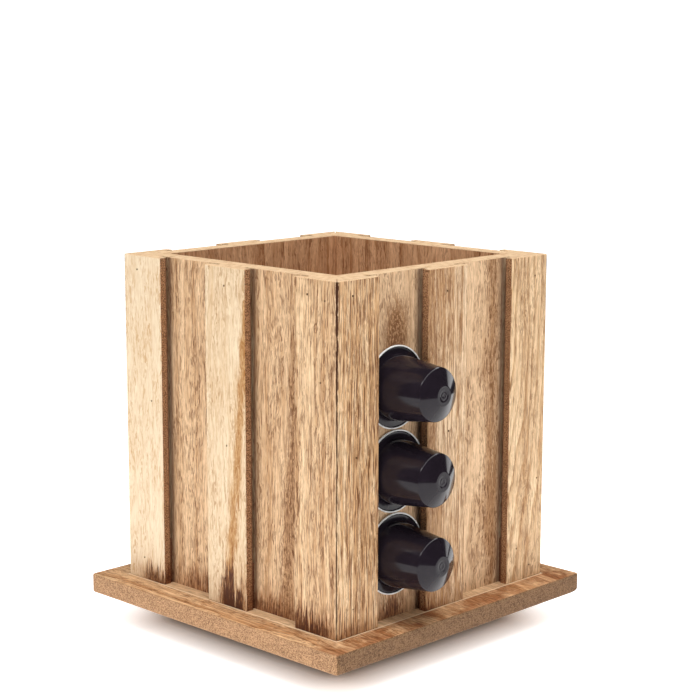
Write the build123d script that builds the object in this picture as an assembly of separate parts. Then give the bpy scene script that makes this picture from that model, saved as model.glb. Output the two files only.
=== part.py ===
from build123d import *
import os
from math import sqrt

# Rotating capsule dispenser: an open square box of light wood, on a square base plate that turns on a
# ball bearing. Three slats stand on each wall, rebated at the back, so that a capsule's rim slides down
# behind their lips. Sizes are in millimetres. The origin is on the turning axis, where the rubber pad
# rests on the table. The front, which holds the three capsules, faces -Y.

# Wooden box and base plate
box_side = 141.0
box_height = 156.0
wall_thickness = 9.0
plate_side = 167.4
plate_thickness = 9.0
plate_corner_radius = 2.0
plate_lower_arris_radius = 1.0
plate_rounded_edge_width = 8.0
plate_rounded_edge_height = 3.4
arris_chamfer = 0.4

# Slats: T-shaped in the middle of a wall, L-shaped and mitred at its corners
slat_width = 26.0
lip_thickness = 4.0
rim_groove_depth = 2.1
rim_groove_undercut = 4.5
rim_stop_height = 21.4
rim_stop_undercut = 1.2
rim_stop_gap = 0.05
mitre_gap = 0.15

# Turntable under the plate
pad_side = 72.0
pad_thickness = 1.5
foot_side = 82.0
foot_thickness = 4.0
foot_corner_radius = 6.0
bearing_side = 76.0
bearing_corner_radius = 4.0
bearing_height = 7.5
sheet_thickness = 1.0
race_rise = 1.1
race_outer_radius = 28.5
track_depth = 0.6
ball_count = 8
ball_flats = 8
ball_radius = 2.0
ball_circle_radius = 24.0
ball_play = 0.05
cage_thickness = 1.0
cage_half_width = 2.6
crimp_radius = 15.0
crimp_lip = 2.5
crimp_play = 0.4

# Fasteners
bearing_screw_offset = 32.0
screw_radius = 1.5
screw_hole_play = 0.05
pan_head_radius = 2.8
pan_head_height = 1.5
plate_screw_length = 7.0
foot_screw_length = 4.0
box_screw_length = 18.0
brad_width = 1.0
brad_thickness = 0.85
brad_length = 12.0
brad_set = 0.5

# Capsules
rim_radius = 18.75
rim_bead_width = 1.1
rim_bead_height = 1.0
rim_gap = 0.3
lid_gap = 0.15
lid_thickness = 0.3
lid_radius = 17.8
shell_wall = 0.4
cavity_sides = 24
body_radius = 14.9
shoulder_radius = 12.0
shoulder_height = 25.7
tip_radius = 4.5
tip_height = 29.4
dimple_radius = 2.0
dimple_depth = 0.6

# Levels, from the table up
foot_bottom = pad_thickness
bearing_bottom = foot_bottom + foot_thickness
plate_bottom = bearing_bottom + bearing_height
plate_top = plate_bottom + plate_thickness
box_top = plate_top + box_height
ball_level = bearing_bottom + bearing_height / 2

# Distances from the turning axis
slat_face = box_side / 2
lip_back = slat_face - lip_thickness
wall_face = lip_back - rim_groove_depth
wall_inside = wall_face - wall_thickness
wall_middle = (wall_face + wall_inside) / 2
middle_lip_edge = slat_width / 2
corner_lip_edge = slat_face - slat_width
channel_width = corner_lip_edge - middle_lip_edge
channel_middle = (corner_lip_edge + middle_lip_edge) / 2

# Where the lowest capsule's rim comes to rest: on the ends of the stopped grooves
stop_half_width = channel_width / 2 + rim_stop_undercut
rim_drop_at_stop = sqrt(rim_radius**2 - stop_half_width**2)
lowest_rim_level = plate_top + rim_stop_height + rim_drop_at_stop + rim_stop_gap
rim_pitch = 2 * rim_radius + rim_gap

# Each side of the box, with its turn from the front
sides = {"front": 0, "right": 90, "back": 180, "left": 270}

# Brads in each side's slats, as (distance along the wall, height above the base plate). They were
# driven by eye, so no two slats have them at quite the same places.
brads = {
    "front": {
        "left": [(-61.0, 149.1), (-58.5, 79.0), (-60.2, 12.0)],
        "middle": [(-0.7, 145.4), (1.1, 81.5), (-1.6, 11.0)],
        "right": [(61.5, 146.5), (65.7, 48.4), (51.3, 16.2), (61.0, 6.3)],
    },
    "right": {
        "left": [(-59.4, 147.8), (-62.0, 84.0), (-57.3, 9.5)],
        "middle": [(0.9, 148.6), (-1.2, 72.0), (0.4, 13.5)],
        "right": [(58.8, 146.9), (61.7, 77.5), (60.3, 10.8)],
    },
    "back": {
        "left": [(-60.7, 150.2), (-57.9, 74.5), (-61.4, 14.6)],
        "middle": [(-1.4, 146.3), (0.8, 85.2), (1.3, 11.6)],
        "right": [(62.1, 145.8), (59.2, 80.6), (58.1, 14.1)],
    },
    "left": {
        "left": [(-60.9, 149.3), (-51.8, 88.0), (-59.0, 10.5)],
        "middle": [(-0.2, 147.5), (0.6, 75.0), (-0.8, 12.8)],
        "right": [(52.7, 149.0), (63.2, 147.2), (60.6, 111.9)],
    },
}


def write(name, solids):
    """Write one node; a list of solids becomes one compound."""
    if isinstance(solids, list):
        solids = Compound(children=solids)
    export_step(solids, f"parts/{name}.step")


def prism(points, bottom, top):
    """A plan outline raised between two levels."""
    outline = Polygon(*points, align=None)
    return Pos(0, 0, bottom) * extrude(outline, amount=top - bottom, dir=(0, 0, 1))


def slab(side, thickness, corner_radius, bottom):
    """A square sheet or board with rounded corners, centred on the axis."""
    outline = RectangleRounded(side, side, corner_radius)
    return Pos(0, 0, bottom) * extrude(outline, amount=thickness, dir=(0, 0, 1))


def turned(profile):
    """A round piece, from its (radius, height) half section."""
    return revolve(Plane.XZ * Polygon(*profile, align=None), Axis.Z)


def four_corners(offset):
    return [(x, y) for x in (-offset, offset) for y in (-offset, offset)]


def brad(along, height, turn, set_depth):
    """A brad in one side's slat, or the pocket it makes where nothing covers its punched head."""
    length = brad_length - set_depth
    middle = Pos(along, -slat_face + set_depth + length / 2, plate_top + height)
    return Rot(0, 0, turn) * middle * Box(brad_width, length, brad_thickness)


def bradded(piece, pockets):
    """Cut the pockets that reach into a piece. Near a corner a brad pins both mitred halves."""
    low, high = piece.bounding_box().min, piece.bounding_box().max
    for pocket in pockets:
        middle = pocket.bounding_box().center()
        near_x = low.X - brad_length < middle.X < high.X + brad_length
        near_y = low.Y - brad_length < middle.Y < high.Y + brad_length
        if near_x and near_y:
            piece -= pocket
    return piece


def slat_plan(position, undercut):
    """Plan of a front slat: its lip at full width, and the stem that holds it off the wall."""
    stem_edge = middle_lip_edge - undercut
    if position == "middle":
        right_half = [
            (middle_lip_edge, -slat_face),
            (middle_lip_edge, -lip_back),
            (stem_edge, -lip_back),
            (stem_edge, -wall_face),
        ]
        return right_half + [(-x, y) for x, y in reversed(right_half)]
    mitre_shift = mitre_gap * sqrt(2)
    right_corner = [
        (slat_face - mitre_shift, -slat_face),
        (wall_face - mitre_shift, -wall_face),
        (corner_lip_edge + undercut, -wall_face),
        (corner_lip_edge + undercut, -lip_back),
        (corner_lip_edge, -lip_back),
        (corner_lip_edge, -slat_face),
    ]
    return right_corner if position == "right" else [(-x, y) for x, y in right_corner]


def slat(position):
    """A front slat: grooves full depth down to the rim stops, and shallow from there to the plate."""
    stop_level = plate_top + rim_stop_height
    foot = prism(slat_plan(position, rim_stop_undercut), plate_top, stop_level)
    upper = prism(slat_plan(position, rim_groove_undercut), stop_level, box_top)
    body = foot + upper
    face = body.faces().sort_by(Axis.Y)[0]
    return chamfer(face.edges(), arris_chamfer)


def wall():
    """A mitred front wall board, bored from below for its screw."""
    plan = [
        (-wall_face, -wall_face),
        (wall_face, -wall_face),
        (wall_inside, -wall_inside),
        (-wall_inside, -wall_inside),
    ]
    bore = screw_bore(box_screw_length - plate_thickness)
    return prism(plan, plate_top, box_top) - Pos(0, -wall_middle, plate_top) * bore


def screw_bore(length):
    """A blind hole upwards from its mouth at the origin."""
    return Pos(0, 0, length / 2) * Cylinder(screw_radius + screw_hole_play, length)


def pan_screw(length):
    """A pan-head screw pointing up, with its head's underside at the origin."""
    head = Pos(0, 0, -pan_head_height / 2) * Cylinder(pan_head_radius, pan_head_height)
    return head + Pos(0, 0, length / 2) * Cylinder(screw_radius, length)


def base_plate():
    """The square plate, its right lower edge well rounded, bored for the box and bearing screws."""
    body = slab(plate_side, plate_thickness, plate_corner_radius, plate_bottom)
    body = fillet(body.faces().sort_by(Axis.Z)[0].edges(), plate_lower_arris_radius)
    width, height = plate_rounded_edge_width, plate_rounded_edge_height
    round_edge = extrude(Plane.XZ * Ellipse(width, height), amount=plate_side, both=True)
    waste = Pos(width, 0, -height) * Box(2 * width, plate_side, 2 * height) - round_edge
    body -= Pos(plate_side / 2 - width, 0, plate_bottom + height) * waste
    body = chamfer(body.faces().sort_by(Axis.Z)[-1].edges(), arris_chamfer)
    for turn in sides.values():
        body -= Rot(0, 0, turn) * Pos(0, -wall_middle, plate_bottom) * screw_bore(plate_thickness)
    for x, y in four_corners(bearing_screw_offset):
        body -= Pos(x, y, plate_bottom) * screw_bore(plate_screw_length)
    return body


def bearing_plate():
    """The lower pressed plate: a raised disc with the ball track, crimped over the upper plate inside."""
    low = bearing_bottom + race_rise
    high = low + sheet_thickness
    crimp_wall = crimp_radius + sheet_thickness
    crimp_top = plate_bottom - race_rise
    raised = [
        (crimp_radius, low),
        (race_outer_radius - race_rise, low),
        (race_outer_radius, bearing_bottom),
        (race_outer_radius + sheet_thickness, bearing_bottom),
        (race_outer_radius + sheet_thickness, bearing_bottom + sheet_thickness),
        (race_outer_radius, high),
        *ball_track(high, 1),
        (crimp_wall, high),
        (crimp_wall, crimp_top - 0.8 * sheet_thickness),
        (crimp_wall + crimp_lip, crimp_top - 0.8 * sheet_thickness),
        (crimp_wall + crimp_lip, crimp_top),
        (crimp_radius, crimp_top),
    ]
    return drilled_sheet(bearing_bottom) + turned(raised)


def upper_bearing_plate():
    """The upper pressed plate: its disc hangs down, and its inner rim dips under the lower plate's crimp."""
    low = plate_bottom - race_rise - sheet_thickness
    high = plate_bottom - race_rise
    inner_radius = crimp_radius + sheet_thickness + crimp_play
    dip_radius = crimp_radius + sheet_thickness + crimp_lip + 2 * crimp_play
    lowered = [
        (inner_radius, low - sheet_thickness),
        (dip_radius + sheet_thickness, low - sheet_thickness),
        (dip_radius + sheet_thickness, low),
        *reversed(ball_track(low, -1)),
        (race_outer_radius, low),
        (race_outer_radius + sheet_thickness, plate_bottom - sheet_thickness),
        (race_outer_radius + sheet_thickness, plate_bottom),
        (race_outer_radius, plate_bottom),
        (race_outer_radius - race_rise, high),
        (dip_radius, high),
        (dip_radius, low),
        (inner_radius, low),
    ]
    return drilled_sheet(plate_bottom - sheet_thickness) + turned(lowered)


def drilled_sheet(bottom):
    """A bearing plate's flat square, open in the middle, with a hole at each corner."""
    sheet = slab(bearing_side, sheet_thickness, bearing_corner_radius, bottom)
    sheet -= Pos(0, 0, bottom + sheet_thickness / 2) * Cylinder(race_outer_radius, sheet_thickness)
    for x, y in four_corners(bearing_screw_offset):
        sheet -= Pos(x, y, bottom) * screw_bore(sheet_thickness)
    return sheet


def ball_track(level, up):
    """Section of the V groove the balls roll in, its slopes a little clear of them, outer edge first."""
    reach = ball_radius + ball_play
    apex = abs(ball_level - level) + track_depth
    half_mouth = reach * track_depth / sqrt(apex**2 - reach**2)
    return [
        (ball_circle_radius + half_mouth, level),
        (ball_circle_radius, level - up * track_depth),
        (ball_circle_radius - half_mouth, level),
    ]


def round_the_cage(piece):
    """Copies of a piece made at the front of the ball circle, one for each ball."""
    turns = [360 * i / ball_count for i in range(ball_count)]
    return [Rot(0, 0, turn) * Pos(ball_circle_radius, 0, ball_level) * piece for turn in turns]


def ball():
    """A ball, cut with flats to keep its faces few: one many-sided bar crossed with itself three ways."""
    outline = Rot(0, 0, 180 / ball_flats) * RegularPolygon(ball_radius, ball_flats)
    bar = extrude(outline, amount=ball_radius, both=True)
    return bar & Rot(90, 0, 0) * bar & Rot(0, 90, 0) * bar


def ball_cage():
    """A flat plastic ring with a square window for each ball."""
    ring = Cylinder(ball_circle_radius + cage_half_width, cage_thickness)
    ring -= Cylinder(ball_circle_radius - cage_half_width, cage_thickness)
    window = Box(2 * (ball_radius + ball_play), 2 * (ball_radius + ball_play), cage_thickness)
    return Pos(0, 0, ball_level) * ring - round_the_cage(window)


def foot_plate():
    """The square foot under the bearing, bored for its screws."""
    body = slab(foot_side, foot_thickness, foot_corner_radius, foot_bottom)
    for x, y in four_corners(bearing_screw_offset):
        bore = Rot(180, 0, 0) * screw_bore(foot_screw_length - sheet_thickness)
        body -= Pos(x, y, bearing_bottom) * bore
    return body


def seat_capsule(piece, level):
    """Turn a piece made along +Z so that it points out of the front left channel at the given level."""
    return Pos(-channel_middle, -wall_face, level) * Rot(90, 0, 0) * piece


def capsule_lid():
    """The foil sealed over the wide end."""
    return Pos(0, 0, lid_gap + lid_thickness / 2) * Cylinder(lid_radius, lid_thickness)


def capsule_shell():
    """The drawn cup: rolled rim, flange, tapered wall, blunt nose and a dimpled tip, hollowed with flats."""
    flange_low = lid_gap + lid_thickness
    flange_high = flange_low + shell_wall
    bead_inside = rim_radius - rim_bead_width
    bead_high = flange_low + rim_bead_height
    tip_floor = tip_height - dimple_depth
    cup = turned([
        (0, flange_low),
        (rim_radius, flange_low),
        (rim_radius, bead_high),
        (bead_inside, bead_high),
        (bead_inside, flange_high),
        (body_radius, flange_high),
        (shoulder_radius, shoulder_height),
        (tip_radius, tip_height),
        (dimple_radius, tip_floor),
        (0, tip_floor),
    ])
    mouth = Pos(0, 0, flange_low) * RegularPolygon(body_radius - shell_wall, cavity_sides)
    end = Pos(0, 0, shoulder_height) * RegularPolygon(shoulder_radius - shell_wall, cavity_sides)
    return cup - loft([mouth, end], ruled=True)


os.makedirs("parts", exist_ok=True)

# Foot and lower half of the bearing
write("rubber_pad", slab(pad_side, pad_thickness, foot_corner_radius, 0))
write("foot_plate", foot_plate())
write("bearing_lower_plate", bearing_plate())
foot_screw = Pos(0, 0, bearing_bottom + sheet_thickness) * Rot(180, 0, 0) * pan_screw(foot_screw_length)
write("foot_screws", [Pos(x, y, 0) * foot_screw for x, y in four_corners(bearing_screw_offset)])

# Balls and their cage
write("bearing_balls", round_the_cage(ball()))
write("ball_cage", ball_cage())

# Upper half of the bearing and the base plate
write("bearing_upper_plate", upper_bearing_plate())
plate_screw = Pos(0, 0, plate_bottom - sheet_thickness) * pan_screw(plate_screw_length)
write("plate_screws", [Pos(x, y, 0) * plate_screw for x, y in four_corners(bearing_screw_offset)])
write("base_plate", base_plate())

# The box, side by side, with its screws and brads
places = [(x, z, sides[side]) for side in sides for row in brads[side].values() for x, z in row]
write("slat_brads", [brad(*place, brad_set) for place in places])
pockets = [brad(*place, 0) for place in places]
box_screws = []
for side, turn in sides.items():
    write(f"wall_{side}", Rot(0, 0, turn) * wall())
    for position in brads[side]:
        write(f"slat_{side}_{position}", bradded(Rot(0, 0, turn) * slat(position), pockets))
    box_screws.append(Rot(0, 0, turn) * Pos(0, -wall_middle, plate_bottom) * pan_screw(box_screw_length))
write("box_screws", box_screws)

# Three capsules, one on another, from the stops up
for number, place in enumerate(("low", "middle", "top")):
    level = lowest_rim_level + number * rim_pitch
    write(f"capsule_{place}_shell", seat_capsule(capsule_shell(), level))
    write(f"capsule_{place}_lid", seat_capsule(capsule_lid(), level))
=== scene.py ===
import bmesh
import bpy
from math import cos, pi, radians, sin, sqrt
from mathutils import Euler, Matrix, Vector


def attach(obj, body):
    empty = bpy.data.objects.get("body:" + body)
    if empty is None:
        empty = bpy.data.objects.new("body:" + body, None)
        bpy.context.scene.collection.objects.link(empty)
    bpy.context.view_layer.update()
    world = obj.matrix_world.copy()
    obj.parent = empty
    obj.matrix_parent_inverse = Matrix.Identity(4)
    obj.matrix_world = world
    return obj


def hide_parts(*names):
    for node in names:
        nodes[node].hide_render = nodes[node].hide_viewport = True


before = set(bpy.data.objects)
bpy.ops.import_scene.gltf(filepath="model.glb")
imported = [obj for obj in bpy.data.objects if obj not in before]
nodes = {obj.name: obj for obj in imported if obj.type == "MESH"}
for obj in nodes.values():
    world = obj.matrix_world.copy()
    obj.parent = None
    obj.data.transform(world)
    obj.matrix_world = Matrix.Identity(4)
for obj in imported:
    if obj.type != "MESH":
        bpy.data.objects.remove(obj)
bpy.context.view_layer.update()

# Levels and distances from the turning axis that the finishes go by, in millimetres
foot_bottom, foot_top, plate_bottom, plate_top, box_top = 1.5, 5.5, 13.0, 22.0, 178.0
pad_half, plate_half, box_half, lip_back, wall_face, slat_width = 36.0, 83.7, 70.5, 66.5, 64.4, 26.0


# Rubber pad. A square of black rubber sheet glued under the foot, the only part that touches the table.
# Its underside is moulded with a fine diamond knurl for grip, and its cut edges are plain.
def tint(red, green, blue):
    """A colour from its 0 to 255 display values."""
    def linear(value):
        value /= 255
        return value / 12.92 if value <= 0.04045 else ((value + 0.055) / 1.055) ** 2.4
    return (linear(red), linear(green), linear(blue), 1.0)


def add_node(tree, kind, values=(), **settings):
    """Add a node to a tree. Each value is a number, a colour or another node's output."""
    made = tree.nodes.new(kind)
    for key, value in settings.items():
        setattr(made, key, value)
    for socket, value in dict(values).items():
        if isinstance(value, bpy.types.NodeSocket):
            tree.links.new(value, made.inputs[socket])
        else:
            made.inputs[socket].default_value = value
    return made


def put(tree, kind, values=(), **settings):
    return add_node(tree, "ShaderNode" + kind, values, **settings)


def calc(tree, operation, *values, clamp=False):
    return put(tree, "Math", enumerate(values), operation=operation, use_clamp=clamp).outputs[0]


def step_between(tree, value, low, high, at_low=0.0, at_high=1.0):
    """A soft step: at_low below the first level, at_high above the second."""
    values = {0: value, 1: low, 2: high, 3: at_low, 4: at_high}
    return put(tree, "MapRange", values, interpolation_type="SMOOTHSTEP").outputs[0]


def dye(tree, mask, under, over, blend="MIX"):
    """Lay one colour over another where the mask says."""
    return put(tree, "Mix", {0: mask, 6: under, 7: over}, data_type="RGBA", blend_type=blend).outputs[2]


def stretched_noise(tree, place, scale, detail=2.0, roughness=0.5):
    """Noise whose blotches have the given sizes in millimetres, across, deep and along."""
    sized = put(tree, "VectorMath", {0: place, 1: [1 / s for s in scale]}, operation="MULTIPLY").outputs[0]
    values = {"Vector": sized, "Scale": 1.0, "Detail": detail, "Roughness": roughness}
    return put(tree, "TexNoise", values)


def bell(tree, value):
    """A smooth hump: 1 where the value is 0, and fading on either side."""
    return calc(tree, "EXPONENT", calc(tree, "MULTIPLY", calc(tree, "MULTIPLY", value, value), -1.0))


def new_finish(name, **plain):
    """A material with its shader, and its place on the piece in millimetres."""
    material = bpy.data.materials.new(name)
    material.use_nodes = True
    tree = material.node_tree
    shader = tree.nodes["Principled BSDF"]
    for socket, value in plain.items():
        shader.inputs[socket.replace("_", " ")].default_value = value
    place = put(tree, "TexCoord").outputs["Object"]
    place = put(tree, "Mapping", {"Vector": place, "Scale": (1000, 1000, 1000)}).outputs[0]
    return material, tree, shader, place


def raise_grain(tree, shader, height, strength, distance):
    """Relief from a height; the distance is in millimetres."""
    values = {"Height": height, "Strength": strength, "Distance": distance / 1000}
    tree.links.new(put(tree, "Bump", values).outputs[0], shader.inputs["Normal"])


def dress(piece, material):
    """Give a CAD node its finish."""
    piece.data.materials.clear()
    piece.data.materials.append(material)
    for face in piece.data.polygons:
        face.material_index = 0


rubber, tree, shader, place = new_finish("black_rubber", Roughness=0.75)
xyz = put(tree, "SeparateXYZ", {0: place}).outputs
knurl_rate = 2.6
ribs_a = calc(tree, "SINE", calc(tree, "MULTIPLY", calc(tree, "ADD", xyz[0], xyz[1]), knurl_rate))
ribs_b = calc(tree, "SINE", calc(tree, "MULTIPLY", calc(tree, "SUBTRACT", xyz[0], xyz[1]), knurl_rate))
dust = stretched_noise(tree, place, (9, 9, 9), 4).outputs[0]
colour = dye(tree, step_between(tree, dust, 0.45, 0.7), tint(34, 34, 35), tint(58, 56, 54))
tree.links.new(colour, shader.inputs["Base Color"])
raise_grain(tree, shader, calc(tree, "MAXIMUM", ribs_a, ribs_b), 0.6, 0.3)
dress(nodes["rubber_pad"], rubber)


# Foot plate. A small square of thin plywood that stays still on the table while the rest turns.
# Its face veneer runs one way, and its sawn edges show the plies.
def new_group(name, inputs, outputs):
    """A node group with named inputs and outputs, each a name, a kind and a starting value."""
    tree = bpy.data.node_groups.new(name, "ShaderNodeTree")
    for label, kind, value in inputs:
        socket = tree.interface.new_socket(name=label, in_out="INPUT", socket_type="NodeSocket" + kind)
        socket.default_value = value
    for label, kind in outputs:
        tree.interface.new_socket(name=label, in_out="OUTPUT", socket_type="NodeSocket" + kind)
    return tree, tree.nodes.new("NodeGroupInput").outputs, tree.nodes.new("NodeGroupOutput").inputs


def use_group(tree, group, values):
    return put(tree, "Group", values, node_tree=group).outputs


def drift(tree, place, scale, detail, amount):
    """A slow wander off the place: noise of the given blotch sizes, times the amount in millimetres."""
    colour = stretched_noise(tree, place, scale, detail).outputs["Color"]
    centred = put(tree, "VectorMath", {0: colour, 1: (0.5, 0.5, 0.5)}, operation="SUBTRACT").outputs[0]
    return put(tree, "VectorMath", {0: centred, "Scale": amount}, operation="SCALE").outputs[0]


# Grown wood: rings round a pith that wanders and leans, an eye where a branch grew, a darker stripe, and pores
# that show as short flecks along the fibres
timber, given, result = new_group("timber", [
    ("Place", "Vector", (0, 0, 0)),
    ("Seed", "Float", 0.0),
    ("Pith Across", "Float", 0.0),
    ("Pith Deep", "Float", 60.0),
    ("Lean", "Float", 0.0),
    ("Ring", "Float", 5.0),
    ("Wander", "Float", 8.0),
    ("Eye Across", "Float", 500.0),
    ("Eye Along", "Float", 0.0),
    ("Eye Rings", "Float", 0.0),
    ("Eye Tone", "Float", 0.0),
    ("Stripe Across", "Float", 500.0),
    ("Stripe Width", "Float", 5.0),
    ("Stripe Lean", "Float", 0.0),
    ("Stripe Tone", "Float", 0.0),
    ("Ring Tone", "Float", 0.6),
    ("Band Tone", "Float", 0.6),
    ("Pores", "Float", 0.5),
    ("Streaks", "Float", 0.3),
    ("Pale", "Color", tint(250, 230, 203)),
    ("Warm", "Color", tint(214, 172, 128)),
    ("Dark", "Color", tint(128, 84, 52)),
], [("Color", "Color"), ("Height", "Float")])
shift = put(timber, "CombineXYZ", {
    0: calc(timber, "MULTIPLY", given["Seed"], 91.0),
    1: calc(timber, "MULTIPLY", given["Seed"], 57.0),
    2: calc(timber, "MULTIPLY", given["Seed"], 131.0),
}).outputs[0]
own = put(timber, "VectorMath", {0: given["Place"], 1: shift}, operation="ADD").outputs[0]
wander = drift(timber, own, (26, 26, 75), 1.5, given["Wander"])
bent = put(timber, "VectorMath", {0: own, 1: wander}, operation="ADD").outputs[0]
sway = drift(timber, own, (5, 5, 15), 2, 5.0)
combed = put(timber, "VectorMath", {0: bent, 1: sway}, operation="ADD").outputs[0]
place_xyz = put(timber, "SeparateXYZ", {0: given["Place"]}).outputs
wander_xyz = put(timber, "SeparateXYZ", {0: wander}).outputs
mid_height = 100.0
above_middle = calc(timber, "SUBTRACT", place_xyz[2], mid_height)
leaning = calc(timber, "MULTIPLY_ADD", above_middle, given["Lean"], given["Pith Across"])
across = calc(timber, "SUBTRACT", calc(timber, "ADD", place_xyz[0], wander_xyz[0]), leaning)
deep = calc(timber, "SUBTRACT", calc(timber, "ADD", place_xyz[1], wander_xyz[1]), given["Pith Deep"])
reach = calc(timber, "ADD", calc(timber, "MULTIPLY", across, across), calc(timber, "MULTIPLY", deep, deep))
reach = calc(timber, "SQRT", reach)
eye_width, eye_length = 6.0, 13.0
eye_x = calc(timber, "DIVIDE", calc(timber, "SUBTRACT", place_xyz[0], given["Eye Across"]), eye_width)
eye_z = calc(timber, "DIVIDE", calc(timber, "SUBTRACT", place_xyz[2], given["Eye Along"]), eye_length)
eye = calc(timber, "ADD", calc(timber, "MULTIPLY", eye_x, eye_x), calc(timber, "MULTIPLY", eye_z, eye_z))
eye = calc(timber, "EXPONENT", calc(timber, "MULTIPLY", eye, -1.0))
ragged = stretched_noise(timber, own, (2.2, 2.2, 14), 2.5).outputs[0]
stripe = calc(timber, "MULTIPLY", above_middle, given["Stripe Lean"])
stripe = calc(timber, "SUBTRACT", calc(timber, "SUBTRACT", place_xyz[0], given["Stripe Across"]), stripe)
stripe = calc(timber, "MULTIPLY_ADD", calc(timber, "SUBTRACT", ragged, 0.5), 9.0, stripe)
stripe = bell(timber, calc(timber, "DIVIDE", stripe, given["Stripe Width"]))
stripe = calc(timber, "MULTIPLY", stripe, given["Stripe Tone"])
phase = calc(timber, "DIVIDE", reach, given["Ring"])
phase = calc(timber, "MULTIPLY_ADD", eye, given["Eye Rings"], phase)
phase = calc(timber, "MULTIPLY_ADD", ragged, 0.55, phase)
ring_number = calc(timber, "FLOOR", phase)
ring_luck = put(timber, "TexWhiteNoise", {"W": ring_number}, noise_dimensions="1D").outputs[0]
ramp = put(timber, "ValToRGB", {0: calc(timber, "FRACT", phase)})
for stop, grey in ((0.0, 0.0), (0.45, 0.16), (0.78, 0.62), (0.92, 1.0), (1.0, 0.1)):
    stops = ramp.color_ramp.elements
    element = stops.new(stop) if 0 < stop < 1 else stops[0 if stop == 0 else -1]
    element.color = (grey, grey, grey, 1)
ring_tone = calc(timber, "MULTIPLY", ramp.outputs[0], calc(timber, "MULTIPLY_ADD", ring_luck, 0.9, 0.35))
ring_tone = calc(timber, "MULTIPLY", ring_tone, given["Ring Tone"])
band = step_between(timber, stretched_noise(timber, bent, (5, 5, 90), 2, 0.6).outputs[0], 0.36, 0.66)
streak = step_between(timber, stretched_noise(timber, bent, (0.7, 0.7, 40), 2.5, 0.65).outputs[0], 0.42, 0.59)
mottle = step_between(timber, stretched_noise(timber, combed, (1.6, 1.6, 5), 3, 0.65).outputs[0], 0.42, 0.60)
grain = calc(timber, "MULTIPLY_ADD", streak, given["Streaks"], calc(timber, "MULTIPLY", band, 0.5))
grain = calc(timber, "MULTIPLY_ADD", mottle, 0.3, grain)
tone = calc(timber, "MULTIPLY_ADD", grain, given["Band Tone"], ring_tone)
tone = calc(timber, "ADD", tone, stripe)
tone = calc(timber, "MULTIPLY_ADD", eye, given["Eye Tone"], tone, clamp=True)
zone = step_between(timber, stretched_noise(timber, bent, (4, 4, 35), 2).outputs[0], 0.40, 0.62)
zone = calc(timber, "ADD", zone, stripe, clamp=True)
dash = step_between(timber, stretched_noise(timber, combed, (0.65, 0.65, 5.2), 1.5, 0.6).outputs[0], 0.52, 0.59)
dash = calc(timber, "MULTIPLY", dash, calc(timber, "MULTIPLY_ADD", zone, 0.75, 0.25))
pore = step_between(timber, stretched_noise(timber, bent, (0.45, 0.45, 12), 1, 0.6).outputs[0], 0.52, 0.60)
pore = calc(timber, "MULTIPLY", pore, calc(timber, "MULTIPLY", given["Streaks"], 1.4))
fibre = calc(timber, "MULTIPLY_ADD", dash, calc(timber, "SUBTRACT", 1.3, given["Streaks"]), pore, clamp=True)
fibre = calc(timber, "MULTIPLY", fibre, calc(timber, "MULTIPLY_ADD", tone, 0.5, 0.5))
wood = dye(timber, tone, given["Pale"], given["Warm"])
wood = dye(timber, calc(timber, "MULTIPLY", fibre, given["Pores"], clamp=True), wood, given["Dark"])
ripple = stretched_noise(timber, bent, (0.9, 0.9, 1.7), 2, 0.6).outputs[0]
figure = calc(timber, "MULTIPLY_ADD", eye, given["Eye Tone"], calc(timber, "MULTIPLY", stripe, 0.4))
figure = calc(timber, "MULTIPLY_ADD", zone, 0.12, figure, clamp=True)
feather = calc(timber, "MULTIPLY", step_between(timber, ripple, 0.40, 0.54), figure)
wood = dye(timber, feather, wood, given["Dark"])
height = calc(timber, "SUBTRACT", calc(timber, "MULTIPLY", tone, 0.4), fibre)
timber.links.new(wood, result["Color"])
timber.links.new(height, result["Height"])

plywood, tree, shader, place = new_finish("foot_plywood", Specular_IOR_Level=0.2, Roughness=0.65)
lying = put(tree, "Mapping", {"Vector": place, "Rotation": (radians(90), 0, 0)}).outputs[0]
face = use_group(tree, timber, {"Place": lying, "Seed": 3.0, "Ring": 3.2, "Pith Deep": 45.0, "Pores": 0.5})
level = put(tree, "SeparateXYZ", {0: place}).outputs[2]
ply_pair = 1.33
plies = calc(tree, "SINE", calc(tree, "MULTIPLY", level, 2 * pi / ply_pair))
sawn = stretched_noise(tree, place, (1.5, 1.5, 0.4), 3).outputs[0]
ply_colour = dye(tree, step_between(tree, calc(tree, "MULTIPLY_ADD", sawn, 0.8, plies), -0.2, 0.9),
                 tint(196, 152, 108), tint(134, 92, 58))
edge = step_between(tree, level, foot_bottom + 0.05, foot_bottom + 0.25)
edge = calc(tree, "MULTIPLY", edge, step_between(tree, level, foot_top - 0.2, foot_top - 0.02, 1.0, 0.0))
tree.links.new(dye(tree, edge, face["Color"], ply_colour), shader.inputs["Base Color"])
raise_grain(tree, shader, face["Height"], 0.4, 0.1)
dress(nodes["foot_plate"], plywood)


# Lower bearing plate. Zinc-plated steel sheet pressed with the ball track, and crimped over the upper plate's
# inner rim so that the two can't part. Four pan-head screws hold it down on the foot plate.

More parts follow.
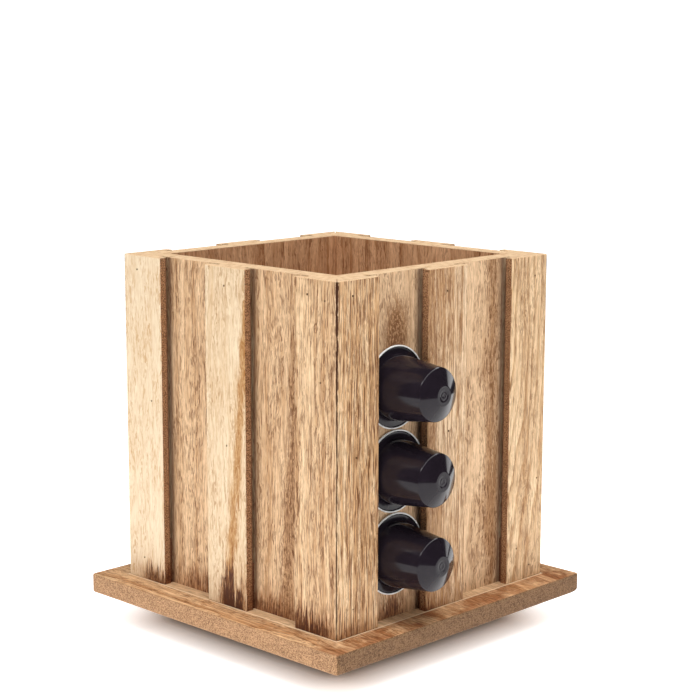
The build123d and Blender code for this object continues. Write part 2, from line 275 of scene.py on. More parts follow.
# Spangle and clouds dull the metal, and fine scratches roughen it
sheet_metal, given, result = new_group("sheet_metal", [
    ("Place", "Vector", (0, 0, 0)),
    ("Clean", "Color", tint(206, 207, 208)),
    ("Dull", "Color", tint(150, 152, 156)),
    ("Smooth", "Float", 0.3),
    ("Worn", "Float", 0.5),
], [("Color", "Color"), ("Roughness", "Float"), ("Height", "Float")])
spangle = put(sheet_metal, "TexVoronoi", {"Vector": given["Place"], "Scale": 0.35}).outputs["Color"]
spangle = put(sheet_metal, "SeparateColor", {0: spangle}).outputs[0]
cloud = stretched_noise(sheet_metal, given["Place"], (6, 6, 6), 4).outputs[0]
scratch = stretched_noise(sheet_metal, given["Place"], (0.2, 7, 0.2), 1).outputs[0]
scratch = step_between(sheet_metal, scratch, 0.62, 0.72)
blotch = calc(sheet_metal, "MULTIPLY_ADD", spangle, 0.35, calc(sheet_metal, "MULTIPLY", cloud, 0.7), clamp=True)
metal = dye(sheet_metal, blotch, given["Clean"], given["Dull"])
uneven = calc(sheet_metal, "MULTIPLY_ADD", scratch, 0.3, calc(sheet_metal, "MULTIPLY", blotch, 0.35))
uneven = calc(sheet_metal, "MULTIPLY", given["Worn"], uneven)
sheet_metal.links.new(metal, result["Color"])
sheet_metal.links.new(calc(sheet_metal, "ADD", uneven, given["Smooth"]), result["Roughness"])
sheet_metal.links.new(calc(sheet_metal, "MULTIPLY", scratch, -1.0), result["Height"])


def metal_finish(name, clean, painted_shadow_base, smooth, worn=0.5, metallic=1.0):
    """Bare or plated metal between its clean and its dull colour."""
    material, tree, shader, place = new_finish(name, Metallic=metallic)
    made = use_group(tree, sheet_metal, {
        "Place": place, "Clean": clean, "Dull": painted_shadow_base, "Smooth": smooth, "Worn": worn,
    })
    tree.links.new(made["Color"], shader.inputs["Base Color"])
    tree.links.new(made["Roughness"], shader.inputs["Roughness"])
    raise_grain(tree, shader, made["Height"], 0.3, 0.02)
    return material


zinc = metal_finish("zinc_plate", tint(206, 207, 208), tint(150, 152, 156), 0.3)
dress(nodes["bearing_lower_plate"], zinc)


def lathe(name, profile, steps):
    """A round mesh about Z from its (radius, height) half section in millimetres, faces outwards."""
    mesh = bmesh.new()
    points = [mesh.verts.new((r / 1000, 0, z / 1000)) for r, z in profile]
    edges = [mesh.edges.new(pair) for pair in zip(points, points[1:])]
    bmesh.ops.spin(mesh, geom=points + edges, cent=(0, 0, 0), axis=(0, 0, 1), angle=2 * pi, steps=steps)
    bmesh.ops.remove_doubles(mesh, verts=mesh.verts, dist=1e-6)
    bmesh.ops.dissolve_degenerate(mesh, edges=mesh.edges, dist=1e-7)
    bmesh.ops.recalc_face_normals(mesh, faces=mesh.faces)
    made = bpy.data.meshes.new(name)
    mesh.to_mesh(made)
    mesh.free()
    return made


# Copies of one small piece in a ring, each turned by chance about its own axis
ring_tree = bpy.data.node_groups.new("ring_of_copies", "GeometryNodeTree")
ring_sockets = {}
for label, kind in (("Piece", "Geometry"), ("Count", "Int"), ("Radius", "Float"), ("Level", "Float"),
                    ("Start", "Float"), ("Seed", "Int"), ("Finish", "Material")):
    socket = ring_tree.interface.new_socket(name=label, in_out="INPUT", socket_type="NodeSocket" + kind)
    ring_sockets[label] = socket
ring_tree.interface.new_socket(name="Ring", in_out="OUTPUT", socket_type="NodeSocketGeometry")
given = ring_tree.nodes.new("NodeGroupInput").outputs
round_points = {"Vertices": given["Count"], "Radius": given["Radius"]}
circle = add_node(ring_tree, "GeometryNodeMeshCircle", round_points).outputs[0]
turn = put(ring_tree, "CombineXYZ", {2: given["Start"]}).outputs[0]
lift = put(ring_tree, "CombineXYZ", {2: given["Level"]}).outputs[0]
moved = {"Geometry": circle, "Translation": lift, "Rotation": turn}
circle = add_node(ring_tree, "GeometryNodeTransform", moved).outputs[0]
any_turn = {"Min": (0, 0, 0), "Max": (0, 0, 2 * pi), "Seed": given["Seed"]}
chance = add_node(ring_tree, "FunctionNodeRandomValue", any_turn, data_type="FLOAT_VECTOR").outputs[0]
placed = {"Points": circle, "Instance": given["Piece"], "Rotation": chance}
copies = add_node(ring_tree, "GeometryNodeInstanceOnPoints", placed).outputs[0]
copies = add_node(ring_tree, "GeometryNodeRealizeInstances", {"Geometry": copies}).outputs[0]
coated = {"Geometry": copies, "Material": given["Finish"]}
copies = add_node(ring_tree, "GeometryNodeSetMaterial", coated).outputs[0]
ring_tree.links.new(copies, ring_tree.nodes.new("NodeGroupOutput").inputs[0])


def ring_of(name, mesh, count, radius, level, start, seed, finish):
    """Set the copies out and make them one plain mesh. Radius and level are in millimetres."""
    piece = bpy.data.objects.new(name, mesh)
    bpy.context.scene.collection.objects.link(piece)
    modifier = piece.modifiers.new("ring", "NODES")
    modifier.node_group = ring_tree
    for label, value in (("Count", count), ("Radius", radius / 1000), ("Level", level / 1000),
                         ("Start", start), ("Seed", seed), ("Finish", finish)):
        modifier[ring_sockets[label].identifier] = value
    result = piece.evaluated_get(bpy.context.evaluated_depsgraph_get())
    plain = bpy.data.meshes.new_from_object(result)
    piece.modifiers.remove(modifier)
    piece.data = plain
    return piece


def smooth_by_angle(mesh, limit=35):
    """Smooth shading with the creases kept sharp."""
    mesh.shade_smooth()
    mesh.set_sharp_from_angle(angle=radians(limit))


def pan_head_screw(name, length, down=False):
    """A cross-recessed pan-head screw with a coarse thread. Its head's underside is at the origin."""
    pitch, core, crest = 1.2, 1.1, 1.48
    arm_reach, arm_half_width, recess_depth = 1.45, 0.3, 0.9
    head = [(0, -1.5), (1.2, -1.49), (2.0, -1.38), (2.5, -1.1), (2.75, -0.7), (2.8, -0.25), (2.72, 0)]
    shank = [(1.15, 0.02), (core, 0.3)]
    for i in range(int((length - 1.6) / pitch)):
        z = 0.4 + pitch * i
        shank += [(core, z), (crest, z + 0.55), (crest, z + 0.65), (core, z + 1.15)]
    mesh = lathe(name, head + shank + [(core, length - 1.2), (0, length)], 40)
    cross = bmesh.new()
    cross.from_mesh(mesh)
    for vert in cross.verts:
        x, y, z = vert.co * 1000
        if z < -1.3 and max(abs(x), abs(y)) < arm_reach and min(abs(x), abs(y)) < arm_half_width:
            vert.co.z += recess_depth / 1000
    cross.to_mesh(mesh)
    cross.free()
    if down:
        for vert in mesh.vertices:
            vert.co.y, vert.co.z = -vert.co.y, -vert.co.z
    smooth_by_angle(mesh)
    return mesh


yellow_zinc = metal_finish("yellow_zinc", tint(214, 199, 150), tint(168, 152, 108), 0.28)
screw_circle, sheet, diagonal = 32 * sqrt(2), 1.0, pi / 4
foot_screw = pan_head_screw("foot_screw", 4.0, down=True)
foot_screws = ring_of("foot_screw_set", foot_screw, count=4, radius=screw_circle, level=foot_top + sheet,
                      start=diagonal, seed=5, finish=yellow_zinc)
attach(foot_screws, "stand")
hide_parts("foot_screws")


# Balls and their cage. Polished steel balls roll in the tracks of the two plates, kept apart by a flat ring of
# natural nylon.
ball_steel = metal_finish("ball_steel", tint(225, 226, 228), tint(196, 198, 202), 0.08, 0.2)
ball_mesh = bmesh.new()
bmesh.ops.create_icosphere(ball_mesh, subdivisions=4, radius=0.002)
ball = bpy.data.meshes.new("bearing_ball")
ball_mesh.to_mesh(ball)
ball_mesh.free()
ball.shade_smooth()
balls = ring_of("bearing_ball_set", ball, count=8, radius=24, level=9.25, start=0, seed=2, finish=ball_steel)
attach(balls, "ball_train")
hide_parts("bearing_balls")
nylon, tree, shader, place = new_finish("natural_nylon", Roughness=0.45)
cloud = stretched_noise(tree, place, (3, 3, 3), 3).outputs[0]
tree.links.new(dye(tree, cloud, tint(236, 232, 218), tint(212, 206, 188)), shader.inputs["Base Color"])
raise_grain(tree, shader, stretched_noise(tree, place, (0.3, 0.3, 0.3)).outputs[0], 0.2, 0.03)
dress(nodes["ball_cage"], nylon)


# Upper bearing plate. Zinc-plated steel sheet pressed with the ball track like the lower one, whose crimp holds
# it by its inner rim. Four pan-head screws hold it up under the base plate.
dress(nodes["bearing_upper_plate"], zinc)
plate_screw = pan_head_screw("plate_screw", 7.0)
plate_screws = ring_of("plate_screw_set", plate_screw, count=4, radius=screw_circle, level=plate_bottom - sheet,
                       start=diagonal, seed=8, finish=yellow_zinc)
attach(plate_screws, "carousel")
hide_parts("plate_screws")


# Base plate. A square of wood-faced fibreboard, lightly torched and brushed like the box, with a rounded lower
# edge. Its faces show streaky grain along the depth, and its edges are plain fine-speckled board.

# A sawn edge of fibreboard or rough wood: fine light and dark grit
speckle, given, result = new_group("sawn_edge", [
    ("Place", "Vector", (0, 0, 0)),
    ("Light", "Color", tint(196, 152, 112)),
    ("Dark", "Color", tint(150, 108, 74)),
], [("Color", "Color"), ("Height", "Float")])
coarse = stretched_noise(speckle, given["Place"], (0.6, 0.6, 0.45), 2.5, 0.75).outputs[0]
cloud = stretched_noise(speckle, given["Place"], (9, 9, 4), 2).outputs[0]
grit = calc(speckle, "MULTIPLY_ADD", cloud, 0.12, calc(speckle, "MULTIPLY", coarse, 0.94))
grit = step_between(speckle, grit, 0.38, 0.70)
speckle.links.new(dye(speckle, grit, given["Light"], given["Dark"]), result["Color"])
speckle.links.new(calc(speckle, "MULTIPLY", coarse, -1.0), result["Height"])

board, tree, shader, place = new_finish("base_board", Specular_IOR_Level=0.2, Roughness=0.62)
lying = put(tree, "Mapping", {"Vector": place, "Rotation": (radians(90), 0, 0)}).outputs[0]
face = use_group(tree, timber, {
    "Place": lying, "Seed": 7.3, "Ring": 6.0, "Pith Across": 12.0, "Pith Deep": 52.0, "Wander": 16.0,
    "Ring Tone": 0.6, "Band Tone": 0.75, "Pores": 0.9, "Streaks": 0.6, "Pale": tint(240, 204, 160),
    "Warm": tint(184, 134, 90), "Dark": tint(112, 70, 40),
})
rim = use_group(tree, speckle, {"Place": place, "Light": tint(196, 154, 114), "Dark": tint(114, 80, 54)})
xyz = put(tree, "SeparateXYZ", {0: place}).outputs
out = calc(tree, "MAXIMUM", calc(tree, "ABSOLUTE", xyz[0]), calc(tree, "ABSOLUTE", xyz[1]))
below_top = step_between(tree, xyz[2], plate_top - 0.45, plate_top - 0.25, 1.0, 0.0)
edge = calc(tree, "MAXIMUM", step_between(tree, out, plate_half - 0.4, plate_half - 0.3), below_top)
inside = step_between(tree, out, box_half + 0.8, box_half + 0.5)
outline = calc(tree, "MULTIPLY", inside, step_between(tree, out, box_half - 0.1, box_half + 0.1))
# Painted shade, in scorch-like blotches, on the top strip in front of the box's front side
front_strip = step_between(tree, xyz[1], -box_half + 6.5, -box_half - 3.5)
front_strip_shade = stretched_noise(tree, place, (14, 14, 14), 3, 0.6).outputs[0]
front_strip_shade = calc(tree, "MULTIPLY", step_between(tree, front_strip_shade, 0.36, 0.60), front_strip)
colour = dye(tree, front_strip_shade, face["Color"], tint(198, 172, 156), "MULTIPLY")
colour = dye(tree, calc(tree, "MULTIPLY", inside, 0.3), colour, tint(240, 212, 172))
colour = dye(tree, calc(tree, "MULTIPLY", outline, 0.6), colour, tint(248, 226, 192))
colour = dye(tree, edge, colour, rim["Color"])
# Painted shade: the plate's front edge is darkened, as that side gets less light
front_edge_shade = calc(tree, "MULTIPLY", step_between(tree, xyz[1], -plate_half + 0.8, -plate_half + 0.3), edge)
colour = dye(tree, front_edge_shade, colour, tint(182, 178, 172), "MULTIPLY")
tree.links.new(colour, shader.inputs["Base Color"])
raise_grain(tree, shader, calc(tree, "ADD", face["Height"], rim["Height"]), 0.35, 0.12)
dress(nodes["base_plate"], board)


# Wall boards. Four boards of light, fast-grown wood, mitred at the corners and glued, with their inner faces
# torched darker. Each is held down on the base plate by a screw from below.

# Torched wood: brown and char rise in tongues from the foot, a painted shade and joint mask takes the char
# colour too, and the sawn top has lines of its own
torched, given, result = new_group("torched", [
    ("Color", "Color", (1, 1, 1, 1)),
    ("Place", "Vector", (0, 0, 0)),
    ("Burn Height", "Float", 10.0),
    ("Burn Across", "Float", 0.0),
    ("Burn Width", "Float", 30.0),
    ("Burn", "Float", 0.5),
    ("Painted Shade And Joint", "Float", 0.0),
    ("Char And Shade", "Color", tint(80, 48, 32)),
    ("Brown", "Color", tint(204, 156, 110)),
    ("Top", "Color", tint(226, 194, 155)),
], [("Color", "Color")])
xyz = put(torched, "SeparateXYZ", {0: given["Place"]}).outputs
above_plate = calc(torched, "SUBTRACT", xyz[2], plate_top)
flames = stretched_noise(torched, given["Place"], (0.9, 0.9, 14), 3, 0.65).outputs[0]
tongues = stretched_noise(torched, given["Place"], (6, 6, 60), 1).outputs[0]
reach = calc(torched, "MULTIPLY_ADD", flames, 3.2, calc(torched, "MULTIPLY_ADD", tongues, 1.4, -1.3))
reach = calc(torched, "MULTIPLY", given["Burn Height"], calc(torched, "MAXIMUM", reach, 0.0))
fade = calc(torched, "MULTIPLY", given["Burn Height"], 0.7)
heat = calc(torched, "DIVIDE", calc(torched, "SUBTRACT", reach, above_plate), fade, clamp=True)
beside = calc(torched, "DIVIDE", calc(torched, "SUBTRACT", xyz[0], given["Burn Across"]), given["Burn Width"])
heat = calc(torched, "MULTIPLY", calc(torched, "MULTIPLY", heat, given["Burn"]), bell(torched, beside))
brown = calc(torched, "MULTIPLY", heat, 1.6, clamp=True)
browned = dye(torched, brown, given["Color"], given["Brown"], "MULTIPLY")
crisp = stretched_noise(torched, given["Place"], (0.6, 0.6, 4), 3, 0.7).outputs[0]
crisp = calc(torched, "MULTIPLY_ADD", calc(torched, "SUBTRACT", crisp, 0.5), 1.6, heat)
char = step_between(torched, crisp, 0.22, 0.62)
char = calc(torched, "MULTIPLY_ADD", char, 0.8, calc(torched, "MULTIPLY", heat, 0.3))
char = calc(torched, "MULTIPLY", char, step_between(torched, heat, 0.0, 0.3), clamp=True)
# Where the painted shade and joint mask is set, the char colour stands for painted shade, and on the slats also
# for the dark mitre joints
charred_and_shaded = dye(torched, calc(torched, "MAXIMUM", char, given["Painted Shade And Joint"]), browned, given["Char And Shade"])
top = step_between(torched, xyz[2], box_top - 0.38, box_top - 0.05)
lines = stretched_noise(torched, given["Place"], (0.8, 5, 1), 2).outputs[0]
top_colour = dye(torched, step_between(torched, lines, 0.46, 0.72), given["Top"], tint(182, 134, 94))
torched.links.new(dye(torched, top, charred_and_shaded, top_colour), result["Color"])


def board_place(tree, place, turn):
    """The place on a board as if it stood on the front side: across, deep and along."""
    return put(tree, "Mapping", {"Vector": place, "Rotation": (0, 0, -turn)}).outputs[0]


sides = {"front": 0.0, "right": pi / 2, "back": pi, "left": -pi / 2}
wall_looks = {
    "front": {
        "Seed": 11.2, "Pith Across": 39.0, "Pith Deep": -20.0, "Ring": 4.2, "Wander": 12.0,
        "Ring Tone": 0.4, "Band Tone": 0.5, "Pores": 0.95,
        "Eye Across": -27.5, "Eye Along": 150.0, "Eye Rings": 3.0, "Eye Tone": 1.4,
        "Stripe Across": 38.0, "Stripe Width": 5.0, "Stripe Tone": 0.55,
        "Pale": tint(244, 210, 170), "Warm": tint(180, 138, 98), "Dark": tint(116, 76, 46),
    },
    "right": {
        "Seed": 12.7, "Pith Across": -20.0, "Pith Deep": -10.0, "Ring": 5.0, "Wander": 14.0,
        "Ring Tone": 0.6, "Band Tone": 0.7,
    },
    "back": {
        "Seed": 13.9, "Pith Across": 15.0, "Pith Deep": 0.0, "Ring": 5.5, "Wander": 10.0,
        "Ring Tone": 0.6, "Band Tone": 0.7,
    },
    "left": {
        "Seed": 15.4, "Pith Across": 60.0, "Pith Deep": 0.0, "Ring": 5.5, "Wander": 9.0,
        "Ring Tone": 0.45, "Band Tone": 0.7, "Pores": 1.0, "Streaks": 0.45,
        "Stripe Across": 37.5, "Stripe Width": 4.0, "Stripe Lean": 0.07, "Stripe Tone": 0.8,
        "Pale": tint(240, 207, 167), "Warm": tint(194, 152, 110), "Dark": tint(112, 72, 44),
    },
}


def burning(height, strength, across, width):
    """How high the scorched foot reaches, how strong it is, where it is strongest and how wide it spreads."""
    return {"Burn Height": height, "Burn": strength, "Burn Across": across, "Burn Width": width}


wall_burns = {
    "front": burning(12.0, 0.5, -29.0, 12.0),
    "right": burning(9.0, 0.5, 20.0, 30.0),
    "back": burning(8.0, 0.5, -10.0, 40.0),
    "left": burning(12.0, 0.52, 0.0, 50.0),
}
for side, turn in sides.items():
    wood, tree, shader, place = new_finish(f"wall_wood_{side}", Specular_IOR_Level=0.2, Roughness=0.6)
    at = board_place(tree, place, turn)
    xyz = put(tree, "SeparateXYZ", {0: at}).outputs
    grain = use_group(tree, timber, {
        "Place": at, "Pores": 0.75, "Pale": tint(226, 192, 155), "Warm": tint(168, 127, 90),
        "Dark": tint(112, 72, 46), **wall_looks[side],
    })
    away = calc(tree, "ABSOLUTE", xyz[0])
    near_middle = calc(tree, "ABSOLUTE", calc(tree, "SUBTRACT", away, slat_width / 2))
    near_corner = calc(tree, "ABSOLUTE", calc(tree, "SUBTRACT", away, box_half - slat_width))
    nearest = calc(tree, "MINIMUM", near_middle, near_corner)
    # Painted shade in the corners between the wall and its slats, darkest beside each slat and fading away from
    # it
    slat_corner_shade = calc(tree, "EXPONENT", calc(tree, "MULTIPLY", nearest, -0.62))
    slat_corner_shade = calc(tree, "MULTIPLY", slat_corner_shade, 0.8)
    inner = step_between(tree, xyz[1], -wall_face + 0.2, -wall_face + 0.4)
    painted_shade_beside_slats = calc(tree, "MULTIPLY", calc(tree, "SUBTRACT", 1.0, inner), slat_corner_shade)
    browner = dye(tree, inner, grain["Color"], tint(255, 238, 226), "MULTIPLY")
    finished = use_group(tree, torched, {
        "Color": browner, "Place": at, **wall_burns[side], "Painted Shade And Joint": painted_shade_beside_slats, "Char And Shade": tint(92, 56, 40),
    })
    tree.links.new(finished["Color"], shader.inputs["Base Color"])
    raise_grain(tree, shader, grain["Height"], 0.45, 0.12)
    dress(nodes[f"wall_{side}"], wood)
wall_middle = 59.9
box_screw = pan_head_screw("box_screw", 18.0)
box_screws = ring_of("box_screw_set", box_screw, count=4, radius=wall_middle, level=plate_bottom,
                     start=0, seed=4, finish=yellow_zinc)
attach(box_screws, "carousel")
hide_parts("box_screws")


# Slats. Twelve strips of the same wood, three to a wall, rebated at the back and mitred at the box's corners.
# They are glued and bradded on. Their faces are brushed pale, their edges left brown and their feet scorched.
slat_looks = {
    "front_left": {
        "Seed": 21.3, "Pith Across": -90.0, "Pith Deep": -50.0, "Ring": 3.6, "Wander": 5.0,
        "Ring Tone": 0.6, "Band Tone": 0.85, "Pores": 1.0, "Streaks": 0.75,
        "Stripe Across": -57.0, "Stripe Width": 5.0, "Stripe Tone": 0.3,
        "Pale": tint(255, 228, 188), "Warm": tint(206, 162, 116), "Dark": tint(116, 74, 44),
    },
    "front_middle": {
        "Seed": 22.8, "Pith Across": -40.0, "Pith Deep": -50.0, "Ring": 5.0, "Wander": 6.0,
        "Ring Tone": 0.5, "Band Tone": 0.8, "Pores": 0.9, "Streaks": 0.65,
        "Stripe Across": -12.0, "Stripe Width": 6.0, "Stripe Tone": 0.5,
        "Pale": tint(244, 216, 180), "Warm": tint(188, 146, 104), "Dark": tint(128, 86, 54),
    },
    "front_right": {
        "Seed": 23.1, "Pith Across": 72.0, "Pith Deep": -50.0, "Lean": 0.12, "Ring": 2.9, "Wander": 15.0,
        "Ring Tone": 0.8, "Band Tone": 0.45, "Pores": 0.85, "Streaks": 0.5,
        "Stripe Across": 56.0, "Stripe Width": 3.5, "Stripe Lean": -0.05, "Stripe Tone": 0.3,
        "Pale": tint(252, 223, 182), "Warm": tint(196, 154, 110), "Dark": tint(124, 82, 50),
    },
    "left_left": {
        "Seed": 24.6, "Pith Across": -50.0, "Pith Deep": -40.0, "Ring": 6.0, "Wander": 8.0,
        "Ring Tone": 0.25, "Band Tone": 0.4, "Pores": 0.85,
        "Pale": tint(235, 217, 189), "Warm": tint(212, 181, 139), "Dark": tint(184, 134, 78),
    },
    "left_middle": {
        "Seed": 25.9, "Pith Across": 4.0, "Pith Deep": -20.0, "Lean": 0.08, "Ring": 7.0, "Wander": 9.0,
        "Ring Tone": 0.3, "Band Tone": 0.45, "Pores": 0.9,
        "Stripe Across": 8.5, "Stripe Width": 2.6, "Stripe Lean": 0.1, "Stripe Tone": 0.9,
        "Pale": tint(236, 217, 186), "Warm": tint(200, 160, 113), "Dark": tint(162, 112, 62),
    },
    "left_right": {
        "Seed": 26.2, "Pith Across": 40.0, "Pith Deep": -58.0, "Ring": 4.0, "Wander": 6.0,
        "Ring Tone": 0.5, "Band Tone": 0.75, "Pores": 1.0, "Streaks": 0.5,
        "Pale": tint(240, 208, 167), "Warm": tint(192, 150, 108), "Dark": tint(112, 72, 44),
    },
}
slat_burns = {
    "left_left": burning(10.0, 0.55, -50.0, 12.0),
    "left_middle": burning(22.0, 0.95, 4.0, 8.0),
    "left_right": burning(12.0, 0.62, 54.0, 16.0),
    "front_left": burning(6.0, 0.3, -66.0, 16.0),
    "front_middle": burning(6.0, 0.4, -12.0, 12.0),
    "front_right": burning(3.0, 0.05, 60.0, 16.0),
}
# The sides that the photo hides have the looks of the seen ones, mirrored and with other grain
seen_twin = {"right": "left", "back": "front"}
for side, turn in sides.items():
    for position in ("left", "middle", "right"):
        name = f"{side}_{position}"
        twin = name if name in slat_looks else f"{seen_twin[side]}_{position}"
        looks = dict(slat_looks[twin])
        if twin != name:
            looks["Seed"] += 40.0
            looks["Pith Across"] = -looks["Pith Across"]
        wood, tree, shader, place = new_finish(f"slat_wood_{name}", Specular_IOR_Level=0.2, Roughness=0.58)
        at = board_place(tree, place, turn)
        xyz = put(tree, "SeparateXYZ", {0: at}).outputs
        grain = use_group(tree, timber, {"Place": at, **looks})
        edge = use_group(tree, speckle, {"Place": at, "Light": tint(184, 138, 100), "Dark": tint(76, 46, 28)})
        corner = calc(tree, "SUBTRACT", box_half - 0.21, calc(tree, "ABSOLUTE", xyz[0]))
        notch = stretched_noise(tree, at, (30, 30, 4.5), 3, 0.6).outputs[0]
        notch = step_between(tree, notch, 0.30, 0.58, 0.35, 1.0)
        wide = step_between(tree, xyz[2], 110.0, box_top - 1.0, 0.36, 0.8)
        joint = calc(tree, "SUBTRACT", corner, calc(tree, "MULTIPLY", notch, wide))
        joint = step_between(tree, joint, -0.1, 0.1, 1.0, 0.0)
        behind = step_between(tree, xyz[1], -box_half + 0.3, -box_half + 0.6)
        # Painted shade in the groove behind the slat's lip, deeper than the lip's back, laid in the char colour
        groove_shade = step_between(tree, xyz[1], -lip_back - 0.7, -lip_back - 0.1)
        colour = dye(tree, behind, grain["Color"], edge["Color"])
        finished = use_group(tree, torched, {
            "Color": colour, "Place": at, **slat_burns[twin], "Char And Shade": tint(80, 46, 30),
            "Painted Shade And Joint": calc(tree, "MAXIMUM", calc(tree, "MULTIPLY", groove_shade, 0.7), joint),
        })
        tree.links.new(finished["Color"], shader.inputs["Base Color"])
        raise_grain(tree, shader, calc(tree, "ADD", grain["Height"], edge["Height"]), 0.45, 0.12)
        dress(nodes[f"slat_{name}"], wood)


# Brads. Plain steel wire nails with hardly any head, shot in until they sit just below the face, where the
# fire has browned them.
brad_wire = metal_finish("brad_wire", tint(44, 34, 28), tint(24, 18, 16), 0.7)
dress(nodes["slat_brads"], brad_wire)


# Capsules. Each is a thin aluminium cup, drawn and lacquered gloss black, with a bare rolled rim. A foil lid is
# sealed over its wide end. The rim runs in the grooves behind the slats, and the lowest capsule rests on the
# ends of those grooves.
lacquer, tree, shader, place = new_finish("black_lacquer", Roughness=0.12, Specular_IOR_Level=0.24)
haze = stretched_noise(tree, place, (5, 5, 5), 3).outputs[0]
tree.links.new(dye(tree, haze, tint(24, 19, 25), tint(34, 28, 35)), shader.inputs["Base Color"])
raise_grain(tree, shader, stretched_noise(tree, place, (1.6, 1.6, 1.6), 3).outputs[0], 0.12, 0.03)
# The bare rim gets a nearly white, barely metallic colour, a painted highlight for the bright line along the
# bead
bare_rim_painted_highlight = metal_finish("bare_rim_painted_highlight", tint(250, 249, 246), tint(238, 236, 232), 0.3, metallic=0.1)
foil = metal_finish("lid_foil", tint(222, 222, 222), tint(180, 181, 184), 0.28)
channel_middle, lowest_level, rim_pitch = 28.75, 51.47, 37.8
shell_profile = [
    (0, 29.18), (0.8, 29.2), (1.15, 29.3), (1.45, 29.3), (1.8, 29.2), (2.2, 29.22), (2.7, 29.37), (3.1, 29.4),
    (4.2, 29.4), (4.5, 29.37), (4.75, 29.26), (11.45, 26.02), (11.8, 25.8), (12.0, 25.5), (12.05, 25.3),
    (14.82, 1.65), (14.95, 1.35), (15.3, 1.22), (17.3, 0.74), (17.6, 0.74), (18.0, 1.1),
]
bead = [radians(t) for t in range(-40, 170, 15)]
rim_profile = [(17.98, 1.1), *((18.3 + 0.4 * sin(a), 1.0 + 0.4 * cos(a)) for a in bead)]
rim_profile += [(18.1, 0.5), (17.0, 0.46)]
foil_profile = [(0, 0.15), (17.4, 0.15), (17.8, 0.2), (17.8, 0.45), (0, 0.45)]
capsule_parts = (
    ("cup", shell_profile, lacquer, "capsule_lacquer"),
    ("rim", rim_profile, bare_rim_painted_highlight, "capsule_lacquer"),
    ("foil", foil_profile, foil, "capsule_foil"),
)
for order, name in enumerate(("low", "middle", "top")):
    centre = Vector((-channel_middle, -wall_face, lowest_level + order * rim_pitch)) / 1000
    for part, profile, finish, body_slot in capsule_parts:
        mesh = lathe(f"capsule_{name}_{part}", profile, 160)
        for vert in mesh.vertices:
            x, y, z = vert.co
            vert.co = centre + Vector((x, -z, y))
        smooth_by_angle(mesh, 30)
        piece = bpy.data.objects.new(f"capsule_{name}_{part}", mesh)
        bpy.context.scene.collection.objects.link(piece)
        dress(piece, finish)
        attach(piece, f"capsule_{name}")
    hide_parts(f"capsule_{name}_shell")
    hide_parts(f"capsule_{name}_lid")


# Floor, light and camera, for the picture only. The floor is white and clear when seen from below; near the
# plate its colour is darkened and its glow dropped, a painted shadow, and further out it glows evenly white.
# It lies a hair under the pad, and glows where the pad covers it so that the pad's underside shows from below.
def as_grey(tree, value):
    return put(tree, "CombineColor", {0: value, 1: value, 2: value}).outputs[0]


floor_mesh = bmesh.new()
bmesh.ops.create_grid(floor_mesh, x_segments=1, y_segments=1, size=0.6)
floor_data = bpy.data.meshes.new("floor")
floor_mesh.to_mesh(floor_data)
floor_mesh.free()
floor = bpy.data.objects.new("floor", floor_data)
floor.location.z = -0.0001
bpy.context.scene.collection.objects.link(floor)
paper, tree, shader, place = new_finish("white_floor_painted_shadow", Roughness=0.9)
shader.inputs["Specular IOR Level"].default_value = 0.0
shader.inputs["Emission Strength"].default_value = 1.0
past = put(tree, "VectorMath", {0: place}, operation="ABSOLUTE").outputs[0]
past = put(tree, "VectorMath", {0: past, 1: (50, 50, 0)}, operation="SUBTRACT").outputs[0]
past = put(tree, "VectorMath", {0: past, 1: (0, 0, 0)}, operation="MAXIMUM").outputs[0]
away = put(tree, "VectorMath", {0: past}, operation="LENGTH").outputs["Value"]
# The glow is dropped near the plate and rises further out, painting the shadow's narrow edge
glow = step_between(tree, away, 5.0, 40.0, 0.0, 0.85)
xyz = put(tree, "SeparateXYZ", {0: place}).outputs
out = calc(tree, "MAXIMUM", calc(tree, "ABSOLUTE", xyz[0]), calc(tree, "ABSOLUTE", xyz[1]))
glow = calc(tree, "MAXIMUM", glow, step_between(tree, out, pad_half - 1.0, pad_half - 2.0, 0.0, 0.9))
tree.links.new(as_grey(tree, glow), shader.inputs["Emission Color"])
# Painted shadow: the floor's own colour is dark near the plate and white further out
painted_shadow_base = step_between(tree, away, 0.0, 18.0, 0.27, 0.9)
tree.links.new(as_grey(tree, painted_shadow_base), shader.inputs["Base Color"])
clear = tree.nodes.new("ShaderNodeBsdfTransparent").outputs[0]
below = tree.nodes.new("ShaderNodeNewGeometry").outputs["Backfacing"]
one_sided = put(tree, "MixShader", {0: below, 1: shader.outputs[0], 2: clear}).outputs[0]
tree.links.new(one_sided, tree.nodes["Material Output"].inputs["Surface"])
dress(floor, paper)


def soft_light(name, position, size, power):
    """A square light panel facing the middle of the box, not seen in the gloss of the capsules."""
    lamp = bpy.data.lights.new(name, "AREA")
    lamp.shape = "SQUARE"
    lamp.size = size
    lamp.energy = power
    panel = bpy.data.objects.new(name, lamp)
    panel.location = position
    panel.rotation_euler = (Vector((0, 0, 0.09)) - Vector(position)).to_track_quat("-Z", "Y").to_euler()
    panel.visible_glossy = False
    bpy.context.scene.collection.objects.link(panel)


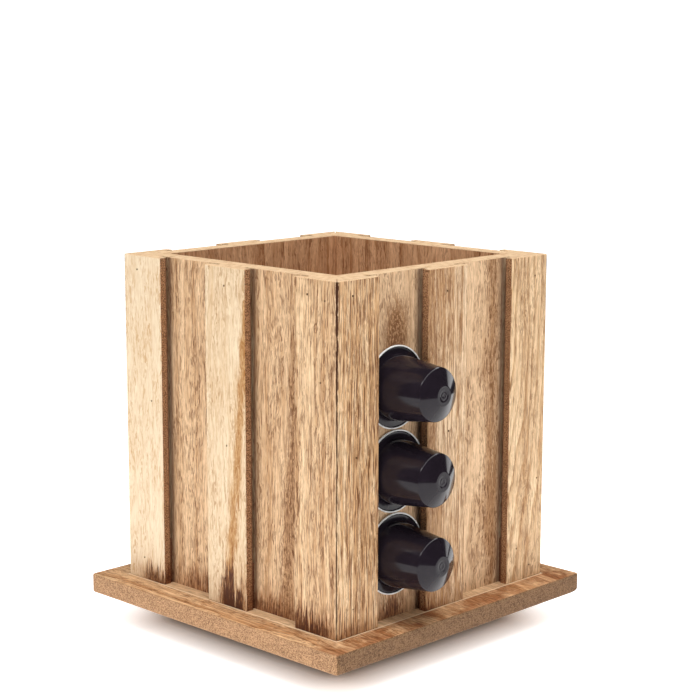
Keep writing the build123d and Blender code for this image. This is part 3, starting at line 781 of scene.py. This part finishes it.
soft_light("left_panel", (-1.6, 0.1, 0.55), 0.9, 6.5)
soft_light("top_panel", (-0.3, -0.35, 1.5), 1.0, 21)
soft_light("front_panel", (0.3, -1.6, 0.6), 0.8, 3)

# A white sky. To glossy rays it is nearly black, with a bright band high up, a window on the right and a card
# low at the front right.
world = bpy.data.worlds.new("studio")
bpy.context.scene.world = world
world.use_nodes = True
sky = world.node_tree
background = sky.nodes["Background"]
background.inputs["Color"].default_value = (1, 1, 1, 1)
path = put(sky, "LightPath").outputs
heading = put(sky, "TexCoord").outputs["Generated"]
around = put(sky, "SeparateXYZ", {0: heading}).outputs
band = calc(sky, "MULTIPLY", step_between(sky, around[2], 0.6, 0.64), step_between(sky, around[2], 0.8, 0.76))
band = calc(sky, "MULTIPLY", band, step_between(sky, around[1], 0.32, 0.22))
window = step_between(sky, around[0], 0.94, 0.97)
window = calc(sky, "MULTIPLY", window, step_between(sky, around[2], -0.06, 0.0))
gloss = calc(sky, "MULTIPLY_ADD", window, 2.5, calc(sky, "MULTIPLY_ADD", band, 7.0, -0.32))
card = put(sky, "VectorMath", {0: heading, 1: (0.70, -0.69, -0.13)}, operation="DISTANCE").outputs["Value"]
card = step_between(sky, card, 0.06, 0.16, 1.0, 0.0)
gloss = calc(sky, "MULTIPLY_ADD", card, 3.0, gloss)
strength = calc(sky, "MULTIPLY_ADD", path["Is Glossy Ray"], gloss, 0.35)
strength = calc(sky, "MULTIPLY_ADD", path["Is Camera Ray"], 1.0, strength)
sky.links.new(strength, background.inputs["Strength"])

# The camera stands where the edges of the box and the plate put it
eye = Vector((-591.0, -585.7, 276.8)) / 1000
target = Vector((4.68, -4.80, 132.0)) / 1000
lens = bpy.data.cameras.new("camera")
lens.lens = 91.49
lens.sensor_width = 36
lens.clip_start = 0.01
camera = bpy.data.objects.new("camera", lens)
bpy.context.scene.collection.objects.link(camera)
camera.location = eye
looking = (target - eye).to_track_quat("-Z", "Y")
camera.rotation_euler = (looking.to_matrix() @ Euler((0, 0, radians(0.138))).to_matrix()).to_euler()
bpy.context.scene.camera = camera
bpy.context.scene.view_settings.view_transform = "Standard"
